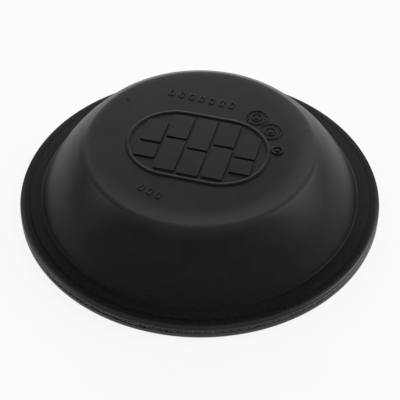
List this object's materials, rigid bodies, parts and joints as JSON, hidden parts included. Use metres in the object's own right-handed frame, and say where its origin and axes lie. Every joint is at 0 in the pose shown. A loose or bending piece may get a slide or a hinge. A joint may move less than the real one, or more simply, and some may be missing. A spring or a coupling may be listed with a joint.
{
  "type": "brake chamber diaphragm",
  "caption": "Moulded rubber cup with a flat round plate, a flared wall and a thick grooved clamping rim, for an air brake chamber.",
  "frame": {"origin": "centre of the rim's flat underside, on the surface that the diaphragm rests on", "axes": "+Z is the axis of the cup, from the rim up to the plate; +X points right and -Y towards the viewer in the picture"},
  "size_m": [0.168, 0.168, 0.0362],
  "materials": {
    "black_rubber": "satin moulded rubber, fine mould texture, slightly glossier on the curved wall"
  },
  "bodies": {
    "root": {"diaphragm": "black_rubber"}
  },
  "joints": []
}
